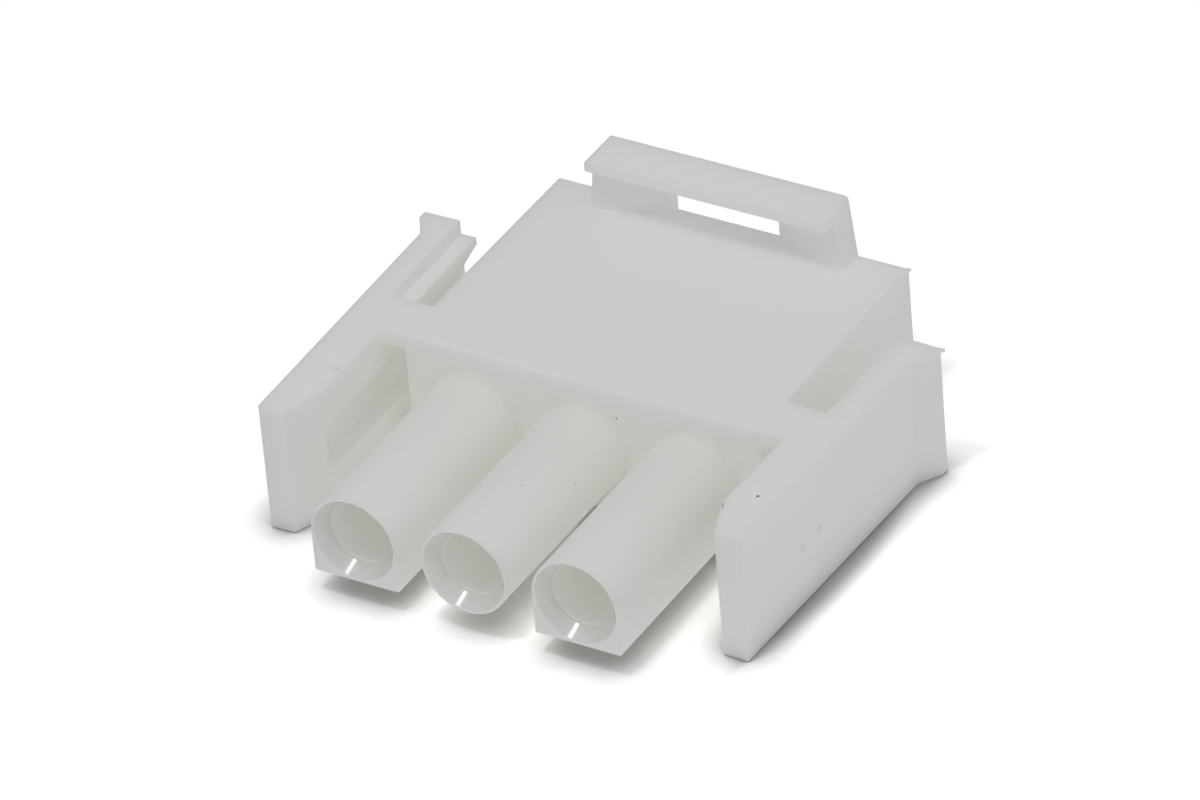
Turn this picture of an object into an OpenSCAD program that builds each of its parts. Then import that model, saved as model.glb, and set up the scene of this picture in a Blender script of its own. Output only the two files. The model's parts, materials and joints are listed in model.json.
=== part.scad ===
// Plug housing for a row of round crimp contacts, moulded in one piece.
// Origin: on the axis of the middle of the row, at the body's mating shoulder.
// +Y runs back towards the wires, +Z is up, the silos point along -Y.
// Dimensions are in millimetres.

/* [Circuits] */
// Number of contacts in the row
circuits = 3; // [2:1:6]
// Centre distance of neighbouring contacts
pitch = 6.35; // [5:0.05:8]

/* [Body block] */
// Body material outside the first and the last contact axis
end_wall = 3.9; // [3.2:0.05:6]
// Depth of the body from mating shoulder to wire face
body_d = 15.65; // [12:0.05:20]
// Height of the body, also the height of the latch arms
body_h = 7.5; // [6.5:0.05:10]

/* [Silos] */
// Outer radius of a silo, half the width of a keyed one
silo_r = 2.45; // [2.2:0.05:3]
// Reach of the silos in front of the mating shoulder
silo_len = 11.9; // [8:0.05:14]
// Radius of the flared mouth at the silo's face
mouth_r = 2.3; // [1.9:0.05:2.4]
// Depth of the flare that guides the mating pin or tube
mouth_depth = 0.9; // [0.3:0.05:2]

/* [Contact cavities] */
// Radius of the cavity inside the silo
front_r = 1.75; // [1.4:0.05:2]
// Radius of the throat that the contact's lances snap behind
throat_r = 1.45; // [1.2:0.05:1.7]
// Distance of the throat's front shoulder behind the mating shoulder
throat_y = 4.2; // [1:0.1:8]
// Length of the throat along the contact
throat_len = 1.6; // [0.8:0.1:3]
// Radius of the wire entry behind the throat
entry_r = 2.05; // [1.8:0.05:2.6]
// Chamfer round the wire entry
entry_chamfer = 0.3; // [0:0.05:0.6]

/* [Latch arms] */
// Clear slot between the body's side and the arm's thick front half
arm_slot = 1.4; // [0.8:0.05:2.5]
// Thickness of the arm's thick front half
arm_t = 2.4; // [1.8:0.05:3.5]
// Thickness of the arm's plate, left behind the pocket and at the rear
plate_t = 1.4; // [0.8:0.05:2]
// Thickness of the arm's nose, where its lead-in ramp starts
nose_t = 1.45; // [0.8:0.05:2]
// Reach of the arm in front of the mating shoulder
arm_front = 8.2; // [5:0.05:11]
// Length of the lead-in ramp and of the catch behind it
catch_len = 2.4; // [1.5:0.05:4]
// Length of the arm behind the mating shoulder
arm_rear = 10.2; // [7:0.05:14]
// Height of the upper and of the lower rail beside the pocket
rail_h = 2.3; // [1.5:0.05:3]
// Outward step of the finger lip at the arm's rear end
lip_out = 0.75; // [0:0.05:1.5]
// Length of the slope up to the finger lip
lip_slope = 1.25; // [0.4:0.05:2]
// Length of the finger lip's flat end
lip_land = 0.55; // [0.2:0.05:1.5]
// Angle by which each arm's rear end stands away from the body
arm_angle = 1.55; // [0:0.05:4]

/* [Arm webs and stop ribs] */
// Distance of the webs' rear ends behind the mating shoulder
web_len = 2.9; // [1.5:0.05:5]
// Setback of the webs' front ends, which leaves the shoulder clear for the mating shell
web_set = 0.1; // [0.05:0.05:0.5]
// Thickness of the upper and of the lower web
web_t = 0.9; // [0.6:0.05:1.8]
// Inward reach of the ribs that stop an arm pressed against the body
rib_in = 0.85; // [0.3:0.05:1.5]
// Thickness of a stop rib
rib_t = 0.85; // [0.5:0.05:1.5]
// Distance of a stop rib from the arm's upper or lower edge
rib_inset = 0.85; // [0.4:0.05:2]
// Length of the relieved rear end of a stop rib
rib_relief_len = 1.35; // [0.5:0.05:3]
// Depth of the relief at a stop rib's rear end
rib_relief = 0.4; // [0.1:0.05:0.7]

/* [Finger ledge] */
// Margin from the body's side to the end of the ledge's bar
ledge_margin = 3.26; // [2:0.05:6]
// Height of the ledge above the body
ledge_h = 3.5; // [2:0.05:6]
// Depth of the ledge's bar
bar_d = 2.65; // [1.5:0.05:4]
// Thickness of the ledge's bar
bar_t = 0.7; // [0.5:0.05:1.5]
// Radius of the bar's upper end corners
bar_corner = 0.25; // [0.05:0.05:0.6]
// Depth of the posts at the ledge's ends
post_d = 1.85; // [1:0.05:2.5]
// Depth of the posts beside the window
post_edge_d = 0.7; // [0.5:0.05:1.5]
// Widening of each post's outer end down to the body
post_taper = 0.36; // [0:0.02:0.8]
// Width of the window between the posts
window_w = 6.3; // [3:0.05:9]

/* [Hidden] */
body_w = (circuits - 1) * pitch + 2 * end_wall;
half_h = body_h / 2;
arm_in = body_w / 2 + arm_slot;
arm_out = arm_in + arm_t;
pivot = [body_w / 2 + 2.15, web_len / 2];
bar_w = body_w - 2 * ledge_margin;
overlap = 0.3;
cut = 1;
facets = 96;
natural = [0.84, 0.83, 0.79];

function axis_x(i) = (i - (circuits - 1) / 2) * pitch;
function keyed(i) = i == 0 || i == circuits - 1;

// A cylinder or cone along +Y from y, on contact axis i.
module along(i, y, len, r1, r2)
    translate([axis_x(i), y, 0])
        rotate([-90, 0, 0])
            cylinder(h = len, r1 = r1, r2 = r2, $fn = facets);

module body_block()
    translate([-body_w / 2, 0, -half_h])
        cube([body_w, body_d, body_h]);

// Round silo. A keyed one has a flat underside with square corners.
module silo(i) {
    along(i, -silo_len, silo_len + overlap, silo_r, silo_r);
    if (keyed(i))
        translate([axis_x(i) - silo_r, -silo_len, -silo_r])
            cube([2 * silo_r, silo_len + overlap, silo_r]);
}

// Flared mouth, silo bore, lance throat and wire entry of one contact.
module cavity(i) {
    along(i, -silo_len, mouth_depth, mouth_r, front_r);
    along(i, -silo_len - cut, cut, mouth_r, mouth_r);
    along(i, -silo_len + mouth_depth - 0.01, silo_len - mouth_depth + throat_y + 0.01, front_r, front_r);
    along(i, throat_y - 0.01, throat_len + 0.02, throat_r, throat_r);
    along(i, throat_y + throat_len, body_d - throat_y - throat_len, entry_r, entry_r);
    along(i, body_d - entry_chamfer, entry_chamfer, entry_r, entry_r + entry_chamfer);
    along(i, body_d, cut, entry_r + entry_chamfer, entry_r + entry_chamfer);
}

// Plan view of the right arm, from its nose round to its finger lip.
module arm_plan()
    polygon([
        [arm_out - nose_t, -arm_front],
        [arm_out, -arm_front],
        [arm_out, arm_rear - lip_land - lip_slope],
        [arm_out + lip_out, arm_rear - lip_land],
        [arm_out + lip_out, arm_rear],
        [arm_out - plate_t, arm_rear],
        [arm_out - plate_t, web_len],
        [arm_in, web_len],
        [arm_in, catch_len - arm_front]
    ]);

// Rib inside the arm's rear half, seen from the side and facing up.
module stop_rib()
    translate([arm_out - plate_t + overlap, 0, 0])
        rotate([0, -90, 0])
            linear_extrude(height = rib_in + overlap)
                polygon([
                    [half_h - rib_inset, web_len - overlap],
                    [half_h - rib_inset, arm_rear],
                    [half_h - rib_inset - rib_t + rib_relief, arm_rear],
                    [half_h - rib_inset - rib_t, arm_rear - rib_relief_len],
                    [half_h - rib_inset - rib_t, web_len - overlap]
                ]);

// Latch arm of the right side with its pocket and stop ribs.
module latch_arm() {
    difference() {
        linear_extrude(height = body_h, center = true)
            arm_plan();
        translate([arm_in - cut, catch_len - arm_front, rail_h - half_h])
            cube([arm_t - plate_t + cut, arm_front - catch_len + web_len + cut, body_h - 2 * rail_h]);
    }
    for (s = [0, 1])
        mirror([0, 0, s])
            stop_rib();
}

// The right arm swung to its angle, with the two webs that carry it.
module arm_and_webs() {
    translate([pivot[0], pivot[1], 0])
        rotate([0, 0, -arm_angle])
            translate([-pivot[0], -pivot[1], 0])
                latch_arm();
    for (z = [-half_h, half_h - web_t])
        translate([body_w / 2 - overlap, web_set, z])
            cube([arm_slot + 2 * overlap, web_len - web_set, web_t]);
}

// Front view of the ledge's bar, with rounded upper corners.
module bar_front() {
    translate([-bar_w / 2, ledge_h - bar_t])
        square([bar_w, bar_t - bar_corner]);
    translate([bar_corner - bar_w / 2, ledge_h - bar_t])
        square([bar_w - 2 * bar_corner, bar_t]);
    for (s = [-1, 1])
        translate([s * (bar_w / 2 - bar_corner), ledge_h - bar_corner])
            circle(r = bar_corner, $fn = 32);
}

// Front view of the two posts with the window between them.
module posts_front()
    difference() {
        polygon([
            [-bar_w / 2 - post_taper, -overlap],
            [bar_w / 2 + post_taper, -overlap],
            [bar_w / 2, ledge_h - bar_t / 2],
            [-bar_w / 2, ledge_h - bar_t / 2]
        ]);
        translate([-window_w / 2, -overlap - cut])
            square([window_w, ledge_h - bar_t + overlap + cut]);
    }

// Plan view of the posts: deep at the ends, thin beside the window.
module posts_plan() {
    half = bar_w / 2 + post_taper;
    polygon([
        [-half, body_d],
        [-half, body_d - post_d],
        [-window_w / 2, body_d - post_edge_d],
        [window_w / 2, body_d - post_edge_d],
        [half, body_d - post_d],
        [half, body_d]
    ]);
}

// Raised ledge across the rear of the top, for pulling the plug off.
module finger_ledge() {
    translate([0, body_d, half_h])
        rotate([90, 0, 0])
            linear_extrude(height = bar_d)
                bar_front();
    intersection() {
        translate([0, body_d, half_h])
            rotate([90, 0, 0])
                linear_extrude(height = bar_d)
                    posts_front();
        translate([0, 0, half_h - overlap])
            linear_extrude(height = ledge_h)
                posts_plan();
    }
}

module housing()
    color(natural)
        difference() {
            union() {
                body_block();
                for (i = [0 : circuits - 1])
                    silo(i);
                for (s = [0, 1])
                    mirror([s, 0, 0])
                        arm_and_webs();
                finger_ledge();
            }
            for (i = [0 : circuits - 1])
                cavity(i);
        }

housing();
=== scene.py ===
"""Natural nylon plug housing for a row of crimp contacts, dressed around its packed frame.

The moulding is worked out as rounded solids, which are joined into one closed skin.
All lengths are in metres, in the frame of the packed part: the silos point along -Y, +Z is up.
"""

import json

import bpy
import numpy as np
from bpy.props import FloatProperty, FloatVectorProperty, PointerProperty
from mathutils import Matrix, Vector

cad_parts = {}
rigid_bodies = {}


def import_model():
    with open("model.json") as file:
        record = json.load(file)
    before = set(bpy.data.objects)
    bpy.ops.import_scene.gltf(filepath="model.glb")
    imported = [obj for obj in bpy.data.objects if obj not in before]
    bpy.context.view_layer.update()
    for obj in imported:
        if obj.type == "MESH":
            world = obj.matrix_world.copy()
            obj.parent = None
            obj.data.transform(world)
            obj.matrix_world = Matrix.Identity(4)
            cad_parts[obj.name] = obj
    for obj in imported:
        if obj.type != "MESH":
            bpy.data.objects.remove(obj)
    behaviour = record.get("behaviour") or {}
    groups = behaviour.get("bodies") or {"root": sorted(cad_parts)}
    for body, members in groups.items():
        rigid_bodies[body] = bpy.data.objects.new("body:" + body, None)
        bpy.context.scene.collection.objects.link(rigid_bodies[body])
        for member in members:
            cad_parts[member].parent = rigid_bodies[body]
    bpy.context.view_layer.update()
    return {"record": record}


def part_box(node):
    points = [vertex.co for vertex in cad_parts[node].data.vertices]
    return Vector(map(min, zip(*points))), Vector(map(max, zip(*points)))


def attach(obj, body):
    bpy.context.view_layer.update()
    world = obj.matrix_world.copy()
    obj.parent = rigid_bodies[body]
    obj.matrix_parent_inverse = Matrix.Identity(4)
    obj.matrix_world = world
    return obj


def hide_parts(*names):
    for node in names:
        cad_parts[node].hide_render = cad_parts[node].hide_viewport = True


bl_info = {
    "name": "Nylon plug housing",
    "version": (1, 0, 0),
    "blender": (4, 5, 0),
    "location": "3D View > Sidebar > Plug housing",
    "description": "Builds the moulded housing of a wire to board plug and its stage",
    "category": "Object",
}

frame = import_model()
LOW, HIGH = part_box("housing")

MM = 0.001
QUARTER = np.pi / 2
ROUND_STEPS = 96
CORNER_STEPS = 5
RIM_STEPS = 5
SMOOTH_ANGLE = np.radians(38)
FLOOR_REACH = 1.5
FLOOR_DROP = 0.03 * MM  # a floor in the plane of the plug's underside would show as black edges
LIGHT_BOUNCES = 48  # light crosses a milky wall many times, so it needs more than the usual four

# Places that the packed part gives: contact axes, cavity radii, shoulder, body and ledge.
MOUNTS = {m["name"]: m for m in frame["record"]["mounts"]}
SILO_MOUNTS = [MOUNTS[n] for n in sorted(MOUNTS) if n.endswith("_silo")]
ENTRY_MOUNTS = [MOUNTS[n] for n in sorted(MOUNTS) if n.endswith("_wire_entry")]
AXES_X = [m["pos_m"][0] for m in SILO_MOUNTS]
CAVITY_R = SILO_MOUNTS[0]["dims"]["r_mm"] * MM
ENTRY_R = ENTRY_MOUNTS[0]["dims"]["r_mm"] * MM
BODY_REAR = HIGH.y
SILO_FRONT = LOW.y
HALF_H = -LOW.z


# ---------------------------------------------------------------- sizes and colours


def size(name, description, millimetres):
    """A length property that is written in millimetres and kept in metres."""
    return FloatProperty(
        name=name,
        description=description,
        default=millimetres * MM,
        min=0,
        unit="LENGTH",
        precision=5,
    )


def tint(name, description, code):
    """A colour property from an sRGB hex code, kept linear."""
    return FloatVectorProperty(
        name=name,
        description=description,
        default=linear(code),
        size=4,
        min=0,
        max=1,
        subtype="COLOR",
    )


def linear(code):
    """The linear RGBA colour of an sRGB hex code such as D2D1CE."""
    srgb = np.array([int(code[i : i + 2], 16) for i in (0, 2, 4)]) / 255
    rgb = np.where(srgb <= 0.04045, srgb / 12.92, ((srgb + 0.055) / 1.055) ** 2.4)
    return (*(float(c) for c in rgb), 1.0)


class PlugBody(bpy.types.PropertyGroup):
    """Sizes of the body block and its contact cavities."""

    end_wall: size("End wall", "Body material outside the outermost contact axes", 3.9)
    edge: size("Edge radius", "Radius of the body's moulded edges", 0.14)
    parting: size("Parting line", "Depth of the line left by the tool's parting", 0.05)
    parting_y: size("Parting place", "Distance of that line behind the shoulder", 0.3)
    mouth_r: size("Mouth radius", "Radius of the flared mouth at the silo's face", 2.3)
    mouth_depth: size("Mouth depth", "Depth of the flare", 0.9)
    throat_r: size("Throat radius", "Radius of the throat that the lances snap behind", 1.45)
    throat_y: size("Throat place", "Distance of the throat behind the shoulder", 4.2)
    throat_len: size("Throat length", "Length of the throat", 1.6)
    entry_chamfer: size("Entry chamfer", "Chamfer round each wire entry", 0.3)


class PlugSilos(bpy.types.PropertyGroup):
    """Sizes of the contact silos."""

    radius: size("Silo radius", "Outer radius, half the width of a keyed silo", 2.45)
    rim: size("Rim radius", "Rounding of the silo's front edge", 0.06)
    lip: size("Lip radius", "Rounding between the silo's face and its mouth", 0.05)
    fillet: size("Root fillet", "Fillet where a silo leaves the shoulder", 0.4)
    key_corner: size("Key corner", "Radius of a keyed silo's lower corners", 0.12)


class PlugArms(bpy.types.PropertyGroup):
    """Sizes of the latch arms, their webs and stop ribs."""

    slot: size("Slot", "Clear slot between the body and the arm's thick half", 1.4)
    thickness: size("Arm thickness", "Thickness of the arm's front half", 2.4)
    plate: size("Plate thickness", "Thickness of the plate behind the pocket", 1.4)
    nose: size("Nose thickness", "Thickness where the lead-in ramp starts", 1.45)
    front: size("Front reach", "Reach in front of the shoulder", 8.2)
    catch: size("Catch length", "Length of the ramp and catch", 2.4)
    rear: size("Rear reach", "Length behind the shoulder", 10.2)
    rail: size("Rail height", "Height of each rail beside the pocket", 2.3)
    lip_out: size("Lip step", "Outward step of the finger lip", 0.75)
    lip_slope: size("Lip slope", "Length of the slope up to the lip", 1.25)
    lip_land: size("Lip land", "Length of the lip's flat end", 0.55)
    edge: size("Edge radius", "Radius of the arm's moulded edges", 0.13)
    web_len: size("Web length", "Distance of the webs' rear ends behind the shoulder", 2.9)
    web_set: size("Web setback", "Setback of the webs' front ends", 0.02)
    web_t: size("Web thickness", "Thickness of a web", 0.9)
    rib_in: size("Rib reach", "Inward reach of a stop rib", 0.85)
    rib_t: size("Rib thickness", "Thickness of a stop rib", 0.85)
    rib_inset: size("Rib inset", "Distance of a rib from the arm's edge", 0.85)
    relief_len: size("Relief length", "Length of a rib's relieved end", 1.35)
    relief: size("Relief", "Depth of a rib's relief", 0.4)
    pivot: size("Pivot", "Distance of the arm's turning point from the body's side", 2.15)
    angle: FloatProperty(
        name="Arm angle",
        description="Angle by which an arm's rear end stands away from the body",
        default=np.radians(1.55),
        subtype="ANGLE",
    )


class PlugLedge(bpy.types.PropertyGroup):
    """Sizes of the finger ledge and its posts."""

    margin: size("Margin", "Margin from the body's side to the bar's end", 3.26)
    depth: size("Bar depth", "Depth of the bar", 2.65)
    thickness: size("Bar thickness", "Thickness of the bar", 0.7)
    corner: size("Bar corner", "Radius of the bar's upper end corners", 0.25)
    edge: size("Edge radius", "Radius of the ledge's other edges", 0.08)
    post_depth: size("Post depth", "Depth of the posts at the ledge's ends", 1.85)
    post_thin: size("Post thin end", "Depth of the posts beside the window", 0.7)
    taper: size("Post taper", "Widening of a post's outer end down to the body", 0.36)
    window: size("Window width", "Width of the window between the posts", 6.3)


class PlugFinish(bpy.types.PropertyGroup):
    """Colours of the nylon and of the stage."""

    nylon: tint("Nylon", "Natural polyamide 66 with a milky, nearly neutral white", "FFFFFD")
    paper: tint("Paper", "Pale seamless paper under the plug", "FAFAFA")


# ---------------------------------------------------------------- lines and surfaces


def arc(centre, radius, start, turn, steps):
    """Points centre + radius * n(a) and their normals n(a) = (cos a, sin a).

    The angle a runs from start to start + turn.
    """
    a = start + turn * np.linspace(0, 1, steps)
    n = np.stack([np.cos(a), np.sin(a)], 1)
    return np.asarray(centre) + radius * n, n


def rounded_line(corners, radii):
    """Closed line through counter-clockwise corners, each rounded by an arc tangent to its sides.

    With n0 and n1 the outward normals of the sides before and after a corner p, the arc's centre is
    p - s r (n0 + n1) / (1 + n0.n1), and its points are centre + s r n, where n turns from n0 to n1
    and s is 1 at a convex corner and -1 at a concave one. Returns the points and their normals.
    """
    p = np.asarray(corners, float)
    r = np.broadcast_to(np.asarray(radii, float), len(p))[:, None]
    ahead = np.roll(p, -1, 0) - p
    ahead /= np.linalg.norm(ahead, axis=1)[:, None]
    behind = np.roll(ahead, 1, 0)
    n0 = np.stack([behind[:, 1], -behind[:, 0]], 1)
    n1 = np.stack([ahead[:, 1], -ahead[:, 0]], 1)
    cross = behind[:, 0] * ahead[:, 1] - behind[:, 1] * ahead[:, 0]
    turn = np.arctan2(cross, (behind * ahead).sum(1))
    s = np.sign(turn)[:, None]
    centre = p - s * r * (n0 + n1) / (1 + (n0 * n1).sum(1))[:, None]
    a = np.arctan2(n0[:, 1], n0[:, 0])[:, None] + turn[:, None] * np.linspace(0, 1, CORNER_STEPS)
    n = np.stack([np.cos(a), np.sin(a)], 2)
    points = centre[:, None] + (s * r)[:, None] * n
    return points.reshape(-1, 2), n.reshape(-1, 2)


def rounded_levels(start, end, rim_start, rim_end):
    """Levels (w, inset) from start to end, each end closed by a quarter round of its own radius.

    With a from a quarter turn down to 0, inset = rim (1 - cos a), and the distance from the end
    is rim (1 - sin a).
    """
    way = np.sign(end - start)
    a = np.linspace(QUARTER, 0, RIM_STEPS)

    def quarter(rim):
        """Distance from the end and inset of a quarter round."""
        return rim * (1 - np.sin(a)), rim * (1 - np.cos(a))

    if rim_start > 0:
        depth, inset = quarter(rim_start)
        first = np.stack([start + way * depth, inset], 1)
    else:
        first = np.array([[start, 0.0]])
    if rim_end > 0:
        depth, inset = quarter(rim_end)
        last = np.stack([end - way * depth, inset], 1)[::-1]
    else:
        last = np.array([[end, 0.0]])
    return np.concatenate([first, last])


def prism(line, levels, axes):
    """Solid of one closed line carried along a straight axis.

    S(u, v) = P(u) - inset(v) N(u), at the height w(v). axes gives the place of the line's two
    coordinates and of the height among X, Y and Z.
    """
    points, normals = line
    levels = np.asarray(levels)
    rings = np.empty((len(levels), len(points), 3))
    flat = points[None] - levels[:, 1, None, None] * normals[None]
    rings[:, :, axes[0]] = flat[:, :, 0]
    rings[:, :, axes[1]] = flat[:, :, 1]
    rings[:, :, axes[2]] = levels[:, 0, None]
    return rings


def revolved(profile, x):
    """Solid turned round a contact axis: S(u, v) = (x + r(v) cos u, y(v), r(v) sin u)."""
    profile = np.asarray(profile)
    u = np.linspace(0, 2 * np.pi, ROUND_STEPS, endpoint=False)
    y, r = profile[:, 0, None], profile[:, 1, None]
    along = np.broadcast_to(y, (len(profile), len(u)))
    return np.stack([x + r * np.cos(u), along, r * np.sin(u)], 2)


def skin(name, rings):
    """Object from rings of points: quads between neighbouring rings and one flat face at each end.

    The faces are turned round where the signed volume, the sum of a . (b x c) / 6, is negative.
    """

    def fan(tip, one, two):
        """Six times the signed volume under the triangles that fan out from a tip."""
        return np.einsum("ij,ij->", np.broadcast_to(tip, one.shape), np.cross(one, two))

    m, n, _ = rings.shape
    grid = np.arange(m * n).reshape(m, n)
    right = np.roll(grid, -1, 1)
    quads = np.stack([grid[:-1], right[:-1], right[1:], grid[1:]], 2).reshape(-1, 4)
    points = rings.reshape(-1, 3)
    centred = points - points.mean(0)
    a, b, c, d = (centred[quads[:, k]] for k in range(4))
    sides = np.einsum("ij,ij->", a, np.cross(b, c)) + np.einsum("ij,ij->", a, np.cross(c, d))
    first, last = centred[grid[0]], centred[grid[-1]]
    low = fan(first[0], first[2:], first[1:-1])
    top = fan(last[0], last[1:-1], last[2:])
    faces = quads.tolist() + [grid[0][::-1].tolist(), grid[-1].tolist()]
    if sides + low + top < 0:
        faces = [face[::-1] for face in faces]
    mesh = bpy.data.meshes.new(name)
    mesh.from_pydata(points.tolist(), [], faces)
    mesh.update()
    piece = bpy.data.objects.new(name, mesh)
    bpy.context.scene.collection.objects.link(piece)
    return piece


def keep(collection_name, pieces):
    """Puts pieces aside for the joining, in the collection of that name."""
    shelf = bpy.data.collections.get(collection_name) or bpy.data.collections.new(collection_name)
    for piece in pieces:
        shelf.objects.link(piece)
        bpy.context.scene.collection.objects.unlink(piece)


def rectangle(low, high):
    """Counter-clockwise corners of an upright rectangle."""
    return [(low[0], low[1]), (high[0], low[1]), (high[0], high[1]), (low[0], high[1])]


# ---------------------------------------------------------------- pieces of the moulding


def body_width(body):
    """Distance between the outermost contact axes, and an end wall at each side."""
    return AXES_X[-1] - AXES_X[0] + 2 * body.end_wall


def body_block(body):
    """Rounded block with the fine line that the tool's parting leaves just behind the shoulder."""
    half = body_width(body) / 2
    line = rounded_line(rectangle((-half, -HALF_H), (half, HALF_H)), body.edge)
    levels = rounded_levels(0, BODY_REAR, body.edge, body.edge)
    depth = body.parting
    groove = np.array([[-depth, 0], [-depth / 2, depth], [depth / 2, depth], [depth, 0]])
    groove[:, 0] += body.parting_y
    levels = np.insert(levels, RIM_STEPS, groove, 0)
    return skin("body_block", prism(line, levels, (0, 2, 1)))


def silo_line(silos, x, keyed):
    """Full circle, or the upper half circle closed by a square foot with rounded corners."""
    r = silos.radius
    if not keyed:
        return arc((x, 0), r, 0, 2 * np.pi * (1 - 1 / ROUND_STEPS), ROUND_STEPS)
    inner = r - silos.key_corner
    parts = [
        arc((x, 0), r, 0, np.pi, ROUND_STEPS // 2 + 1),
        arc((x - inner, -inner), silos.key_corner, np.pi, QUARTER, CORNER_STEPS),
        arc((x + inner, -inner), silos.key_corner, 3 * QUARTER, QUARTER, CORNER_STEPS),
    ]
    return tuple(np.concatenate(rows) for rows in zip(*parts))


def contact_silo(silos, i, x):
    """Silo outline carried forwards from inside the body, with a root fillet and a rounded rim.

    The fillet is a quarter circle of radius f that touches the shoulder and the silo:
    outset = f (1 - sin b), distance from the shoulder = f (1 - cos b), b from 0 to a quarter turn.
    """
    f, b = silos.fillet, np.linspace(0, QUARTER, 7)
    root = np.stack([-f * (1 - np.cos(b)), -f * (1 - np.sin(b))], 1)
    start = np.array([[2 * f, -f]])
    front = rounded_levels(-f, SILO_FRONT, 0, silos.rim)[1:]
    levels = np.concatenate([start, root, front])
    line = silo_line(silos, x, i in (0, len(AXES_X) - 1))
    return skin(f"silo_{i + 1}", prism(line, levels, (0, 2, 1)))


def contact_cavity(body, silos, i, x):
    """Profile turned round a contact axis: mouth, lip, flare, silo bore, throat and wire entry."""
    lip = silos.lip
    a = np.linspace(0, QUARTER * 0.8, 4)
    mouth = body.mouth_r + lip
    profile = [(SILO_FRONT - MM, mouth), (SILO_FRONT, mouth)]
    profile += [(SILO_FRONT + lip * (1 - np.cos(t)), mouth - lip * np.sin(t)) for t in a[1:]]
    blend = 0.18 * MM
    slope = (body.mouth_r - CAVITY_R) / body.mouth_depth
    end = SILO_FRONT + body.mouth_depth
    profile += [
        (end - blend, CAVITY_R + slope * blend),
        (end - blend / 3, CAVITY_R + slope * blend / 2.4),
        (end + blend / 2, CAVITY_R),
        (body.throat_y, CAVITY_R),
        (body.throat_y, body.throat_r),
    ]
    back = body.throat_y + body.throat_len
    rim = body.entry_chamfer
    profile += [(back, body.throat_r), (back, ENTRY_R), (BODY_REAR - rim, ENTRY_R)]
    profile += [(BODY_REAR, ENTRY_R + rim), (BODY_REAR + MM, ENTRY_R + rim)]
    return skin(f"cavity_{i + 1}", revolved(profile, x))


def turned(rings, pivot, angle):
    """The rings turned in plan about a pivot, by the usual rotation of X and Y."""
    c, s = np.cos(angle), np.sin(angle)
    out = rings.copy()
    x, y = rings[..., 0] - pivot[0], rings[..., 1] - pivot[1]
    out[..., 0] = pivot[0] + c * x - s * y
    out[..., 1] = pivot[1] + s * x + c * y
    return out


def arm_solids(body, arms):
    """Rings of the right arm: plate with its nose, two rails, two stop ribs and two webs."""
    side = body_width(body) / 2
    inner = side + arms.slot
    outer = inner + arms.thickness
    plate = outer - arms.plate
    edge = arms.edge
    tall = rounded_levels(-HALF_H, HALF_H, edge, edge)
    catch_y = arms.catch - arms.front
    plan = [
        (outer - arms.nose, -arms.front),
        (outer, -arms.front),
        (outer, arms.rear - arms.lip_land - arms.lip_slope),
        (outer + arms.lip_out, arms.rear - arms.lip_land),
        (outer + arms.lip_out, arms.rear),
        (plate, arms.rear),
        (plate, catch_y),
        (inner, catch_y),
    ]
    radii = np.array([edge, edge, 3 * edge, 1.5 * edge, edge, edge, edge / 2, edge])
    swung = [prism(rounded_line(plan, radii), tall, (0, 1, 2))]

    lead = 0.6 * MM
    ramp = (arms.thickness - arms.nose) / arms.catch * lead
    bury = 0.5 * MM
    rail_plan = [
        (inner, catch_y),
        (inner + ramp, catch_y - lead),
        (plate + bury, catch_y - lead),
        (plate + bury, arms.web_len),
        (inner, arms.web_len),
    ]
    rail_line = rounded_line(rail_plan, [edge / 2, edge / 2, edge / 2, edge / 2, edge])
    rib_top = HALF_H - arms.rib_inset
    rib_low = rib_top - arms.rib_t
    rib_side = [
        (arms.web_len - bury, rib_low),
        (arms.rear - arms.relief_len, rib_low),
        (arms.rear, rib_low + arms.relief),
        (arms.rear, rib_top),
        (arms.web_len - bury, rib_top),
    ]
    for s in (-1, 1):
        rail_levels = rounded_levels(HALF_H - arms.rail, HALF_H, edge * 0.6, edge)
        rails = prism(rail_line, rail_levels, (0, 1, 2))
        ribs = prism(
            rounded_line(rib_side, edge * 0.6),
            rounded_levels(plate - arms.rib_in, plate + bury, edge * 0.6, 0),
            (1, 2, 0),
        )
        for rings in (rails, ribs):
            rings[..., 2] *= s
            swung.append(rings)

    pivot = (side + arms.pivot, arms.web_len / 2)
    solids = [turned(rings, pivot, -arms.angle) for rings in swung]
    for s in (-1, 1):
        web_side = rectangle((arms.web_set, HALF_H - arms.web_t), (arms.web_len, HALF_H))
        web_line = rounded_line(web_side, edge * 0.7)
        web = prism(web_line, [(side - bury, 0), (inner + bury, 0)], (1, 2, 0))
        web[..., 2] *= s
        solids.append(web)
    return solids


def ledge_bar(body, ledge):
    """Bar across the rear, with its upper end corners rounded more than its other edges."""
    half = body_width(body) / 2 - ledge.margin
    corners = rectangle((-half, HIGH.z - ledge.thickness), (half, HIGH.z))
    line = rounded_line(corners, [ledge.edge, ledge.edge, ledge.corner, ledge.corner])
    levels = rounded_levels(BODY_REAR - ledge.depth, BODY_REAR, ledge.edge, ledge.edge)
    return skin("ledge_bar", prism(line, levels, (0, 2, 1)))


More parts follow.
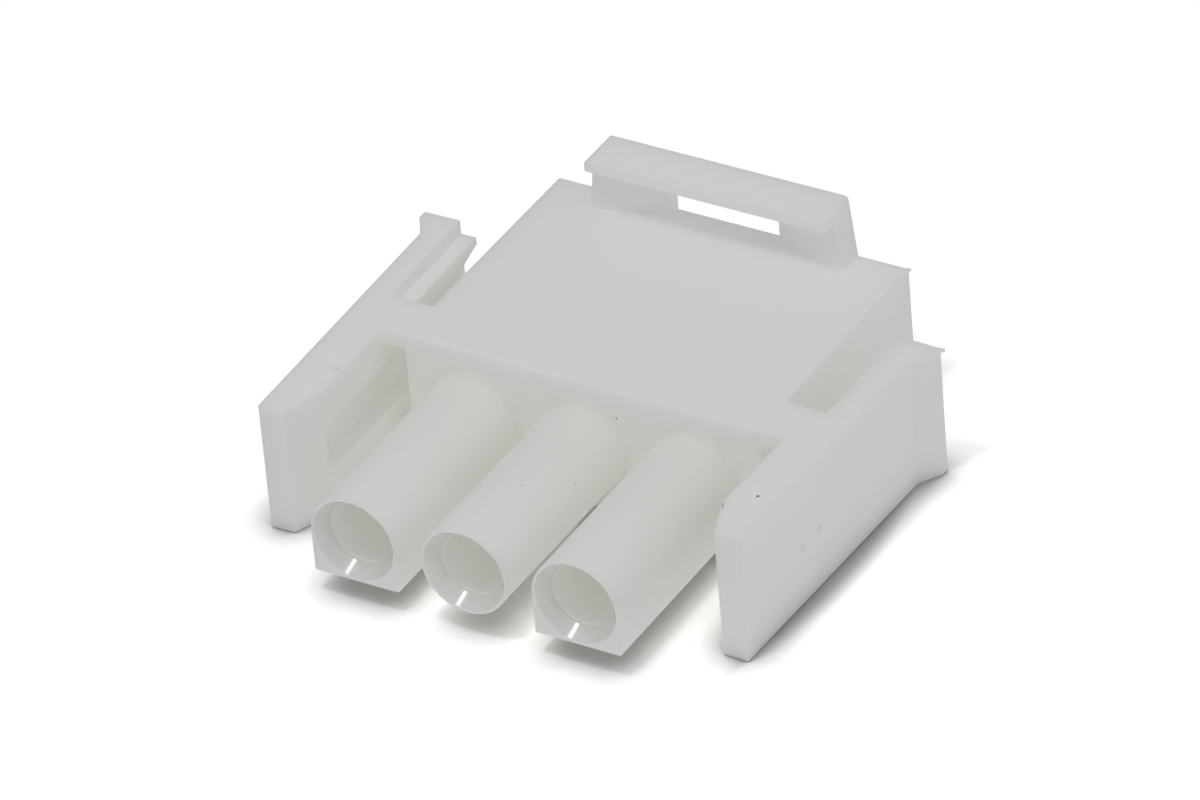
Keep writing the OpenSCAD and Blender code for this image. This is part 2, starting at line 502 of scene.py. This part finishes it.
def ledge_post(body, ledge, s):
    """Wedge between two plan outlines: the outer end moves in as the post rises to the bar."""
    half = body_width(body) / 2 - ledge.margin
    run = half + ledge.taper - ledge.window / 2
    fall = (ledge.post_depth - ledge.post_thin) / run
    bury = 0.3 * MM
    bar_mid = HIGH.z - ledge.thickness / 2
    rings = []
    for z in (HALF_H - bury, bar_mid):
        end = half + ledge.taper * (bar_mid - z) / (bar_mid - HALF_H + bury)
        plan = [
            (ledge.window / 2, BODY_REAR - ledge.post_thin),
            (end, BODY_REAR - ledge.post_thin - fall * (end - ledge.window / 2)),
            (end, BODY_REAR),
            (ledge.window / 2, BODY_REAR),
        ]
        points, _ = rounded_line(plan, ledge.edge * 0.7)
        rings.append(np.column_stack([s * points[:, 0], points[:, 1], np.full(len(points), z)]))
    return skin(f"ledge_post_{'left' if s < 0 else 'right'}", np.array(rings))


def flash_fins(body, arms):
    """Two slivers of mould flash: at the right arm's rear upper corner and at the body's."""
    side = body_width(body) / 2
    tip = side + arms.slot + arms.thickness + arms.lip_out
    thick = [(HALF_H - 0.09 * MM, 0), (HALF_H - 0.02 * MM, 0)]
    arm_plan = [(-0.3, -0.6), (0.02, -0.52), (0.3, -0.16), (0.2, 0.02), (-0.3, -0.1)]
    body_plan = [(-0.3, -0.7), (0.0, -0.55), (0.13, -0.06), (0.08, 0.02), (-0.3, -0.1)]
    arm_plan = np.array(arm_plan) * MM + (tip, arms.rear)
    body_plan = np.array(body_plan) * MM + (side, BODY_REAR)
    pivot = (side + arms.pivot, arms.web_len / 2)
    arm_fin = prism(rounded_line(arm_plan, 0.02 * MM), thick, (0, 1, 2))
    body_fin = prism(rounded_line(body_plan, 0.02 * MM), thick, (0, 1, 2))
    return [skin("arm_flash", turned(arm_fin, pivot, -arms.angle)), skin("body_flash", body_fin)]


# ---------------------------------------------------------------- materials


def add(tree, kind, place, links=None, **settings):
    """Adds a node, sets its properties and input values, and links other sockets to its inputs."""
    node = tree.nodes.new("ShaderNode" + kind)
    node.location = place
    for key, value in settings.items():
        if hasattr(node, key):
            setattr(node, key, value)
        else:
            node.inputs[key.replace("_", " ")].default_value = value
    for key, socket in (links or {}).items():
        tree.links.new(socket, node.inputs[key])
    return node


def empty_material(name):
    """A new material without any nodes."""
    material = bpy.data.materials.new(name)
    material.use_nodes = True
    material.node_tree.nodes.clear()
    return material


def ramps(tree, bands, corner):
    """Product of straight ramps.

    A band is (value, start, end, before, after): as its value runs from start to end, its ramp
    goes from before to after, and it stays level outside.
    """
    product = None
    for row, (value, start, end, before, after) in enumerate(bands):
        x, y = corner[0], corner[1] - 260 * row
        limits = dict(From_Min=start, From_Max=end, To_Min=before, To_Max=after)
        ramp = add(tree, "MapRange", (x, y), {"Value": value}, **limits).outputs["Result"]
        if product:
            both = {0: product, 1: ramp}
            ramp = add(tree, "Math", (x + 180, y), both, operation="MULTIPLY").outputs[0]
        product = ramp
    return product


def seen_white(tree, corner):
    """1 for a ray from the eye, or by way of gloss or glass, and 0 for every other ray."""
    path = add(tree, "LightPath", corner).outputs
    seen = path["Is Camera Ray"]
    for k, kind in enumerate(("Is Glossy Ray", "Is Transmission Ray")):
        place = (corner[0] + 180 * (k + 1), corner[1])
        both = {0: seen, 1: path[kind]}
        seen = add(tree, "Math", place, both, operation="ADD", use_clamp=True).outputs[0]
    return seen


# Sizes in the nylon's skin. Grain and clouds are wider than the crystals, so that they show.
GRAIN_SIZE = 0.12 * MM
CLOUD_SIZE = 3.5 * MM
SPECK_SPACING = 1.6 * MM
SATIN_SIZE = 0.06 * MM
SATIN_DEPTH = 0.004 * MM
SATIN_ROUGHNESS = 0.6
POLISHED_ROUGHNESS = 0.16
# Painted shade: how much of the colour is left in the mouths' flares and the arms' pockets,
# darkened to stand in for the shade inside these hollows.
FLARE_PAINTED_SHADE = 0.76
POCKET_PAINTED_SHADE = 0.955

# Marks under the skin: place and radius in millimetres, and how much of the light they leave.
MARKS = (
    (14.04, -2.61, -0.44, 0.34, 0.86),
    (14.04, -1.01, -0.33, 0.34, 0.86),
    (-11.84, -3.9, 3.75, 0.3, 0.84),
    (12.89, -4.76, 3.75, 0.11, 0.15),
    (-0.43, -3.98, 2.41, 0.05, 0.7),
    (0.94, -3.24, 2.26, 0.05, 0.7),
    (0.71, -4.81, 2.34, 0.05, 0.7),
    (0.98, -5.47, 2.24, 0.05, 0.6),
    (0.74, -7.04, 2.33, 0.06, 0.5),
    (2.19, -4.49, 1.1, 0.06, 0.5),
    (2.05, 0, 2.19, 0.07, 0.3),
    (2.73, 0.03, 3.75, 0.06, 0.5),
)


def moulded_nylon(finish, body, arms):
    """Polyamide 66, natural, injection moulded in an eroded tool.

    A milky, half crystalline plastic: light enters, scatters and leaves again, so edges look soft
    and narrow gaps stay pale and turn warm. The eroded tool gives a fine satin skin without gloss;
    only the mouths, which polished pins form, draw a sharp glint. A few burnt specks of granulate
    and faint round flow marks show below the skin. The mouths' flares and the arms' pockets carry
    painted shade: their colour is darkened to stand in for the shade inside them.
    """
    material = empty_material("polyamide_66_natural_moulded")
    tree = material.node_tree
    where = add(tree, "TexCoord", (-1900, 0)).outputs["Object"]

    # Grain, clouding and burnt specks, then the marks one by one.
    spot = {"Vector": where}
    grain = add(
        tree, "TexNoise", (-1600, 200), spot, Scale=1 / GRAIN_SIZE, Detail=2.0, Roughness=0.6
    )
    clouds = add(tree, "TexNoise", (-1600, -60), spot, Scale=1 / CLOUD_SIZE, Detail=2.0)
    specks = add(tree, "TexVoronoi", (-1600, -320), spot, Scale=1 / SPECK_SPACING)
    tone_and_painted_shade = [
        (grain.outputs["Fac"], 0.25, 0.75, 0.99, 1.01),
        (clouds.outputs["Fac"], 0.3, 0.7, 0.997, 1.003),
        (specks.outputs["Distance"], 0.012, 0.024, 0.7, 1.0),
    ]
    for row, (x, y, z, radius, left) in enumerate(MARKS):
        away = add(tree, "VectorMath", (-1600, -600 - 200 * row), {0: where}, operation="DISTANCE")
        away.inputs[1].default_value = (x * MM, y * MM, z * MM)
        tone_and_painted_shade.append((away.outputs["Value"], 0.5 * radius * MM, radius * MM, left, 1.0))

    # Polished flare of each mouth, found by its distance from the nearest contact axis.
    # The same mask darkens the flare's colour as painted shade.
    place = add(tree, "SeparateXYZ", (-1900, 900), {0: where}).outputs
    half_pitch = (AXES_X[1] - AXES_X[0]) / 2
    across = add(tree, "Math", (-1700, 900), {0: place["X"]}, operation="WRAP")
    across.inputs[1].default_value, across.inputs[2].default_value = half_pitch, -half_pitch
    reach = add(tree, "CombineXYZ", (-1520, 900), {"X": across.outputs[0], "Z": place["Z"]})
    reach = add(tree, "VectorMath", (-1340, 900), {0: reach.outputs[0]}, operation="LENGTH")
    reach = reach.outputs["Value"]
    flare_end = SILO_FRONT + body.mouth_depth
    flare = ramps(
        tree,
        [
            (reach, body.mouth_r - 0.02 * MM, body.mouth_r + 0.04 * MM, 1, 0),
            (place["Y"], flare_end - 0.06 * MM, flare_end, 1, 0),
        ],
        (-1100, 900),
    )
    # The arms' pockets, shaped by a slide of the tool, get painted shade: their colour is darkened
    # a little to stand in for the shade in these hollows.
    sideways = add(tree, "Math", (-1700, 1200), {0: place["X"]}, operation="ABSOLUTE").outputs[0]
    upright = add(tree, "Math", (-1700, 1400), {0: place["Z"]}, operation="ABSOLUTE").outputs[0]
    inner = body_width(body) / 2 + arms.slot
    opening = HALF_H - arms.rail
    pocket = ramps(
        tree,
        [
            (sideways, inner + 0.07 * MM, inner + 0.15 * MM, 0, 1),
            (sideways, inner + 1.35 * MM, inner + 1.45 * MM, 1, 0),
            (upright, opening - 0.03 * MM, opening + 0.02 * MM, 1, 0),
            (place["Y"], -6.0 * MM, -5.9 * MM, 0, 1),
            (place["Y"], arms.web_len - 0.1 * MM, arms.web_len, 1, 0),
        ],
        (-1100, 2200),
    )
    # Painted shade: the mouths' flares and the arms' pockets are darkened in colour.
    tone_and_painted_shade += [(flare, 0, 1, 1.0, FLARE_PAINTED_SHADE), (pocket, 0, 1, 1.0, POCKET_PAINTED_SHADE)]
    gain = ramps(tree, tone_and_painted_shade, (-700, 200))
    shaded = add(tree, "VectorMath", (-100, 100), {"Scale": gain}, operation="SCALE")
    shaded.inputs[0].default_value = finish.nylon[:3]

    # Satin of the eroded tool: fine shallow pits.
    satin = add(tree, "TexNoise", (-300, -300), spot, Scale=1 / SATIN_SIZE, Detail=1.0)
    height = {"Height": satin.outputs["Fac"]}
    satin = add(tree, "Bump", (-100, -300), height, Strength=0.3, Distance=SATIN_DEPTH)
    polish = [(flare, 0, 1, SATIN_ROUGHNESS, POLISHED_ROUGHNESS)]
    links = {
        "Base Color": shaded.outputs[0],
        "Roughness": ramps(tree, polish, (-100, 900)),
        "Normal": satin.outputs["Normal"],
    }
    surface = add(tree, "BsdfPrincipled", (200, 0), links, IOR=1.53)
    surface.inputs["Subsurface Weight"].default_value = 0.75
    surface.inputs["Subsurface Radius"].default_value = (1.0, 0.99, 0.97)
    surface.inputs["Subsurface Scale"].default_value = 2.5 * MM
    add(tree, "OutputMaterial", (500, 0), {"Surface": surface.outputs[0]})
    return material


def seamless_paper(finish):
    """Matt white card. The eye sees it whitened, and its shadows stay.

    Painted shadow: close under the plug the card is darkened for the eye, and beside the right
    arm, away from the lamp, lies a painted crescent of deeper shadow.
    """
    material = empty_material("seamless_paper_matt")
    tree = material.node_tree
    where = add(tree, "TexCoord", (-1700, 0)).outputs["Object"]
    place = add(tree, "SeparateXYZ", (-1500, 0), {0: where}).outputs
    # Painted shadow: close under the plug the card's colour is darkened for the eye, by how much
    # of the sky the ambient occlusion finds hidden, deeper than this even light leaves it.
    open_sky = add(tree, "AmbientOcclusion", (-1100, 600), Distance=2.2 * MM).outputs["AO"]

    # Painted shadow, a crescent: its outer rim is the parabola x = rim_x - bow t^2, where t runs
    # from -1 to 1 over a half length on either side of the middle.
    middle, half_length, rim_x, bow = 0.6 * MM, 7.6 * MM, 15.15 * MM, 1.1 * MM
    along = add(tree, "Math", (-1300, 1000), {0: place["Y"]}, operation="MULTIPLY_ADD")
    along.inputs[1].default_value = 1 / half_length
    along.inputs[2].default_value = -middle / half_length
    twice = {0: along.outputs[0], 1: along.outputs[0]}
    square = add(tree, "Math", (-1100, 1000), twice, operation="MULTIPLY")
    rim = add(tree, "Math", (-900, 1000), {0: square.outputs[0]}, operation="MULTIPLY_ADD")
    rim.inputs[1].default_value, rim.inputs[2].default_value = -bow, rim_x
    ends = {0: rim.outputs[0], 1: place["X"]}
    inside = add(tree, "Math", (-700, 1000), ends, operation="SUBTRACT").outputs[0]
    crescent = ramps(
        tree,
        [(inside, -0.3 * MM, 0.6 * MM, 0, 1), (place["X"], 13 * MM, 13.5 * MM, 0, 1)],
        (-500, 1250),
    )
    level = ramps(tree, [(open_sky, 0.45, 1, 0.5, 1.85), (crescent, 0, 1, 1.0, 0.65)], (100, 900))
    gain = add(tree, "Mix", (500, 400), {0: seen_white(tree, (-100, 200)), 3: level}, A=1.0)
    white = add(tree, "VectorMath", (700, 200), {"Scale": gain.outputs[0]}, operation="SCALE")
    white.inputs[0].default_value = finish.paper[:3]
    card = add(tree, "BsdfDiffuse", (900, 0), {"Color": white.outputs[0]})
    add(tree, "OutputMaterial", (1100, 0), {"Surface": card.outputs[0]})
    return material


# ---------------------------------------------------------------- operators


class PLUG_OT_body(bpy.types.Operator):
    """Body block with its rounded edges and its parting line"""

    bl_idname = "plug.body_block"
    bl_label = "Body block"

    def execute(self, context):
        keep("solids", [body_block(context.scene.plug_body)])
        return {"FINISHED"}


class PLUG_OT_silos(bpy.types.Operator):
    """Three contact silos, the outer two keyed"""

    bl_idname = "plug.contact_silos"
    bl_label = "Contact silos"

    def execute(self, context):
        silos = context.scene.plug_silos
        keep("solids", [contact_silo(silos, i, x) for i, x in enumerate(AXES_X)])
        return {"FINISHED"}


class PLUG_OT_arms(bpy.types.Operator):
    """Both latch arms with their rails, webs and stop ribs"""

    bl_idname = "plug.latch_arms"
    bl_label = "Latch arms"

    def execute(self, context):
        solids = arm_solids(context.scene.plug_body, context.scene.plug_arms)
        mirror = np.array([-1, 1, 1])
        keep("solids", [skin(f"arm_right_{k}", rings) for k, rings in enumerate(solids)])
        keep("solids", [skin(f"arm_left_{k}", rings * mirror) for k, rings in enumerate(solids)])
        return {"FINISHED"}


class PLUG_OT_ledge(bpy.types.Operator):
    """Finger ledge: bar and two wedge-shaped posts"""

    bl_idname = "plug.finger_ledge"
    bl_label = "Finger ledge"

    def execute(self, context):
        body, ledge = context.scene.plug_body, context.scene.plug_ledge
        pieces = [ledge_bar(body, ledge)]
        pieces += [ledge_post(body, ledge, s) for s in (-1, 1)]
        keep("solids", pieces)
        return {"FINISHED"}


class PLUG_OT_flash(bpy.types.Operator):
    """Slivers of flash left at two corners of the tool"""

    bl_idname = "plug.mould_flash"
    bl_label = "Mould flash"

    def execute(self, context):
        keep("solids", flash_fins(context.scene.plug_body, context.scene.plug_arms))
        return {"FINISHED"}


class PLUG_OT_cavities(bpy.types.Operator):
    """Contact cavities, cut through silos and body"""

    bl_idname = "plug.contact_cavities"
    bl_label = "Contact cavities"

    def execute(self, context):
        body, silos = context.scene.plug_body, context.scene.plug_silos
        keep("cavities", [contact_cavity(body, silos, i, x) for i, x in enumerate(AXES_X)])
        return {"FINISHED"}


class PLUG_OT_join(bpy.types.Operator):
    """Joins the solids into one closed skin, cuts the cavities and gives it the nylon"""

    bl_idname = "plug.join_moulding"
    bl_label = "Join the moulding"

    def execute(self, context):
        solids = list(bpy.data.collections["solids"].objects)
        cavities = list(bpy.data.collections["cavities"].objects)
        housing = solids[0]
        housing.name = housing.data.name = "moulded_housing"
        context.scene.collection.objects.link(housing)
        for others, operation in ((solids[1:], "UNION"), (cavities, "DIFFERENCE")):
            for other in others:
                step = housing.modifiers.new(operation.title(), "BOOLEAN")
                step.operation, step.object, step.solver = operation, other, "MANIFOLD"
        settle(housing)
        housing.data.shade_smooth()
        housing.data.set_sharp_from_angle(angle=SMOOTH_ANGLE)
        weighted = housing.modifiers.new("Flat faces stay flat", "WEIGHTED_NORMAL")
        weighted.keep_sharp = True
        settle(housing)
        for shelf in ("solids", "cavities"):
            bpy.data.collections.remove(bpy.data.collections[shelf])
        for piece in solids[1:] + cavities:
            bpy.data.objects.remove(piece)
        housing.data.materials.clear()
        scene = context.scene
        nylon = moulded_nylon(scene.plug_finish, scene.plug_body, scene.plug_arms)
        housing.data.materials.append(nylon)
        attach(housing, "root")
        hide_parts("housing")
        return {"FINISHED"}


def settle(piece):
    """Replaces a piece's mesh by what its modifiers make of it."""
    graph = bpy.context.evaluated_depsgraph_get()
    done = bpy.data.meshes.new_from_object(piece.evaluated_get(graph), depsgraph=graph)
    piece.modifiers.clear()
    done.name = piece.name
    piece.data = done


class PLUG_OT_stage(bpy.types.Operator):
    """Pale paper floor, soft light and the camera"""

    bl_idname = "plug.stage"
    bl_label = "Stage"

    def execute(self, context):
        scene = context.scene
        mesh = bpy.data.meshes.new("paper_floor")
        square = rectangle((-FLOOR_REACH, -FLOOR_REACH), (FLOOR_REACH, FLOOR_REACH))
        corners = [(x, y, LOW.z - FLOOR_DROP) for x, y in square]
        mesh.from_pydata(corners, [], [(0, 1, 2, 3)])
        floor = bpy.data.objects.new("paper_floor", mesh)
        mesh.materials.append(seamless_paper(scene.plug_finish))
        scene.collection.objects.link(floor)
        soft_world(scene)
        overhead_lamp(scene)
        camera(scene)
        scene.view_settings.view_transform = "Standard"
        scene.cycles.max_bounces = scene.cycles.diffuse_bounces = LIGHT_BOUNCES
        return {"FINISHED"}


def soft_world(scene):
    """Soft light from all round, strongest from above the right side; plain white to the eye."""
    brightest = (0.45, 0, 0.89)
    dim, bright = 0.35, 0.74
    world = bpy.data.worlds.new("soft_white_room")
    world.use_nodes = True
    tree = world.node_tree
    tree.nodes.clear()
    way = add(tree, "TexCoord", (-700, -250)).outputs["Generated"]
    side = add(tree, "VectorMath", (-500, -250), {0: way}, operation="DOT_PRODUCT")
    side.inputs[1].default_value = brightest
    light = ramps(tree, [(side.outputs["Value"], 0, 1, dim, bright)], (-300, -250))
    strength = add(tree, "Mix", (-100, 0), {0: seen_white(tree, (-700, 100)), 2: light}, B=1.0)
    sky = add(tree, "Background", (100, 0), {"Strength": strength.outputs[0]})
    add(tree, "OutputWorld", (300, 0), {"Surface": sky.outputs[0]})
    scene.world = world


def overhead_lamp(scene):
    """Soft box above and a little in front: it draws the glints in the silos' mouths."""
    place = Vector((-9.5, -57, 181)) * MM
    distance, width, level = place.length, 28 * MM, 0.15
    way = place.normalized()
    light = bpy.data.lights.new("overhead_soft_box", "AREA")
    light.shape, light.size = "DISK", width
    light.energy = level * (np.pi * distance) ** 2
    lamp = bpy.data.objects.new("overhead_soft_box", light)
    lamp.location = place
    lamp.rotation_euler = way.to_track_quat("Z", "Y").to_euler()
    scene.collection.objects.link(lamp)


def camera(scene):
    """Long lens, 33 degrees round from the front to the right, looking 35 degrees down."""
    turn, rise, roll = np.radians(32.905), np.radians(34.824), np.radians(-5.051)
    back = Vector((np.sin(turn) * np.cos(rise), -np.cos(turn) * np.cos(rise), np.sin(rise)))
    level = Vector((np.cos(turn), np.sin(turn), 0))
    lift = back.cross(level)
    across = np.cos(roll) * level + np.sin(roll) * lift
    up = -np.sin(roll) * level + np.cos(roll) * lift
    lens = bpy.data.cameras.new("camera")
    lens.sensor_width, lens.lens = 36, 286.22
    lens.clip_start, lens.clip_end = 0.01, 20
    view = bpy.data.objects.new("camera", lens)
    place = Vector((212.7516, -326.9947, 273.9972)) * MM
    view.matrix_world = Matrix.Translation(place) @ Matrix((across, up, back)).transposed().to_4x4()
    scene.collection.objects.link(view)
    scene.camera = view


class PLUG_PT_panel(bpy.types.Panel):
    """Buttons and sizes of the plug housing"""

    bl_idname = "PLUG_PT_panel"
    bl_label = "Plug housing"
    bl_space_type = "VIEW_3D"
    bl_region_type = "UI"
    bl_category = "Plug housing"

    def draw(self, context):
        for operator in OPERATORS:
            self.layout.operator(operator.bl_idname)
        for name, group in GROUPS.items():
            box = self.layout.box()
            box.label(text=group.__doc__)
            for key in group.__annotations__:
                box.prop(getattr(context.scene, name), key)


GROUPS = {
    "plug_body": PlugBody,
    "plug_silos": PlugSilos,
    "plug_arms": PlugArms,
    "plug_ledge": PlugLedge,
    "plug_finish": PlugFinish,
}
OPERATORS = (
    PLUG_OT_body,
    PLUG_OT_silos,
    PLUG_OT_arms,
    PLUG_OT_ledge,
    PLUG_OT_flash,
    PLUG_OT_cavities,
    PLUG_OT_join,
    PLUG_OT_stage,
)


def register():
    for cls in (*GROUPS.values(), *OPERATORS, PLUG_PT_panel):
        bpy.utils.register_class(cls)
    for name, group in GROUPS.items():
        setattr(bpy.types.Scene, name, PointerProperty(type=group))


def unregister():
    for name in GROUPS:
        delattr(bpy.types.Scene, name)
    for cls in reversed((*GROUPS.values(), *OPERATORS, PLUG_PT_panel)):
        bpy.utils.unregister_class(cls)


def main():
    register()
    bpy.ops.plug.body_block()
    bpy.ops.plug.contact_silos()
    bpy.ops.plug.latch_arms()
    bpy.ops.plug.finger_ledge()
    bpy.ops.plug.mould_flash()
    bpy.ops.plug.contact_cavities()
    bpy.ops.plug.join_moulding()
    bpy.ops.plug.stage()


if __name__ == "__main__":
    main()
